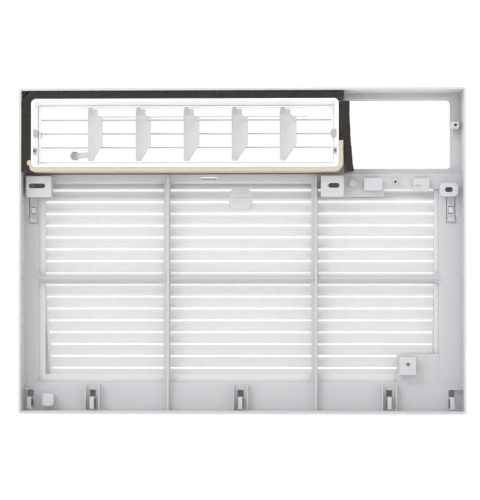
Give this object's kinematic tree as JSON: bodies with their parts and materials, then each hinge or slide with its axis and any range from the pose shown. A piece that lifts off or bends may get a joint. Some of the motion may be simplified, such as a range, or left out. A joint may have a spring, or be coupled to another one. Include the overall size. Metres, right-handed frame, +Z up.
{
  "type": "window air conditioner front panel",
  "caption": "Front panel of a window air conditioner: rimmed frame with a tilting louver cassette, turning vanes, hinged inlet grille, filter, seals and latches.",
  "frame": {"origin": "bottom centre of the panel's box, half way between the rear rim and the face of the grille", "axes": "+X across the panel as seen from behind, +Y from the open rear to the room, +Z up"},
  "size_m": [0.5, 0.055, 0.364],
  "materials": {
    "abs_panel": "fine satin, moulded",
    "abs_louver": "fine satin, moulded",
    "abs_bush": "satin, moulded",
    "abs_grille": "fine satin, moulded",
    "seal_foam": "open-cell, matt",
    "base_foam": "closed-cell, matt",
    "filter_frame": "satin, moulded",
    "filter_net": "fine woven net"
  },
  "bodies": {
    "panel": {"panel_rim": "abs_panel", "panel_upper_left": "abs_panel", "panel_side_boss": "abs_panel", "panel_window_rails": "abs_panel", "panel_window_sides": "abs_panel", "panel_bars": "abs_panel", "panel_foot": "abs_panel", "panel_side_left": "abs_panel", "panel_side_right": "abs_panel", "panel_ribs": "abs_panel", "panel_screw_tabs": "abs_panel", "panel_hooks": "abs_panel", "discharge_duct": "abs_louver", "pivot_bush_left": "abs_bush", "pivot_bush_right": "abs_bush", "tilt_detent_left": "abs_bush", "tilt_detent_right": "abs_bush", "foam_seal_wrap": "seal_foam", "foam_seal_side": "seal_foam", "foam_strip_base": "base_foam"},
    "cassette": {"louver_cassette": "abs_louver"},
    "link": {"link_rod": "abs_louver"},
    "grille": {"inlet_grille": "abs_grille", "badge_disc": "abs_grille"},
    "filter": {"filter_frame": "filter_frame", "filter_mesh": "filter_net"},
    "latch_left": {"latch_left": "abs_panel"},
    "latch_right": {"latch_right": "abs_panel"},
    "vane_1": {"vane_1": "abs_louver"},
    "vane_2": {"vane_2": "abs_louver"},
    "vane_3": {"vane_3": "abs_louver"},
    "vane_4": {"vane_4": "abs_louver"},
    "vane_5": {"vane_5": "abs_louver"}
  },
  "joints": [
    {"name": "cassette_tilt", "type": "hinge", "parent": "panel", "child": "cassette", "pos_m": [-0.06405, 0.0055, 0.3141], "axis": [1, 0, 0], "range_deg": [-17, 17]},
    {"name": "vane_1_turn", "type": "hinge", "parent": "cassette", "child": "vane_1", "pos_m": [-0.17245, 0.0021, 0.3141], "axis": [0, 0, 1], "range_deg": [-76, 0]},
    {"name": "vane_2_turn", "type": "hinge", "parent": "cassette", "child": "vane_2", "pos_m": [-0.11795, 0.0021, 0.3141], "axis": [0, 0, 1], "range_deg": [-76, 0]},
    {"name": "vane_3_turn", "type": "hinge", "parent": "cassette", "child": "vane_3", "pos_m": [-0.06345, 0.0021, 0.3141], "axis": [0, 0, 1], "range_deg": [-76, 0]},
    {"name": "vane_4_turn", "type": "hinge", "parent": "cassette", "child": "vane_4", "pos_m": [-0.00895, 0.0021, 0.3141], "axis": [0, 0, 1], "range_deg": [-76, 0]},
    {"name": "vane_5_turn", "type": "hinge", "parent": "cassette", "child": "vane_5", "pos_m": [0.04555, 0.0021, 0.3141], "axis": [0, 0, 1], "range_deg": [-76, 0]},
    {"name": "link_swing", "type": "hinge", "parent": "vane_1", "child": "link", "pos_m": [-0.15829, -0.01602, 0.3324], "axis": [0, 0, 1], "range_deg": [0, 76]},
    {"name": "grille_open", "type": "hinge", "parent": "panel", "child": "grille", "pos_m": [0, 0.0205, 0.01], "axis": [-1, 0, 0], "range_deg": [0, 75]},
    {"name": "filter_lift", "type": "slide", "parent": "grille", "child": "filter", "axis": [0, 0, 1], "range_m": [0, 0.003]},
    {"name": "latch_left_flex", "type": "hinge", "parent": "panel", "child": "latch_left", "pos_m": [-0.2377, 0.00775, 0.2156], "axis": [1, 0, 0], "range_deg": [0, 5], "stiffness_Nm_per_rad": 0.2},
    {"name": "latch_right_flex", "type": "hinge", "parent": "panel", "child": "latch_right", "pos_m": [0.2353, 0.00775, 0.2156], "axis": [1, 0, 0], "range_deg": [0, 5], "stiffness_Nm_per_rad": 0.2}
  ],
  "couplings": [
    {"joint": "vane_2_turn", "follows": "vane_1_turn", "ratio": 1},
    {"joint": "vane_3_turn", "follows": "vane_1_turn", "ratio": 1},
    {"joint": "vane_4_turn", "follows": "vane_1_turn", "ratio": 1},
    {"joint": "vane_5_turn", "follows": "vane_1_turn", "ratio": 1},
    {"joint": "link_swing", "follows": "vane_1_turn", "ratio": -1}
  ]
}
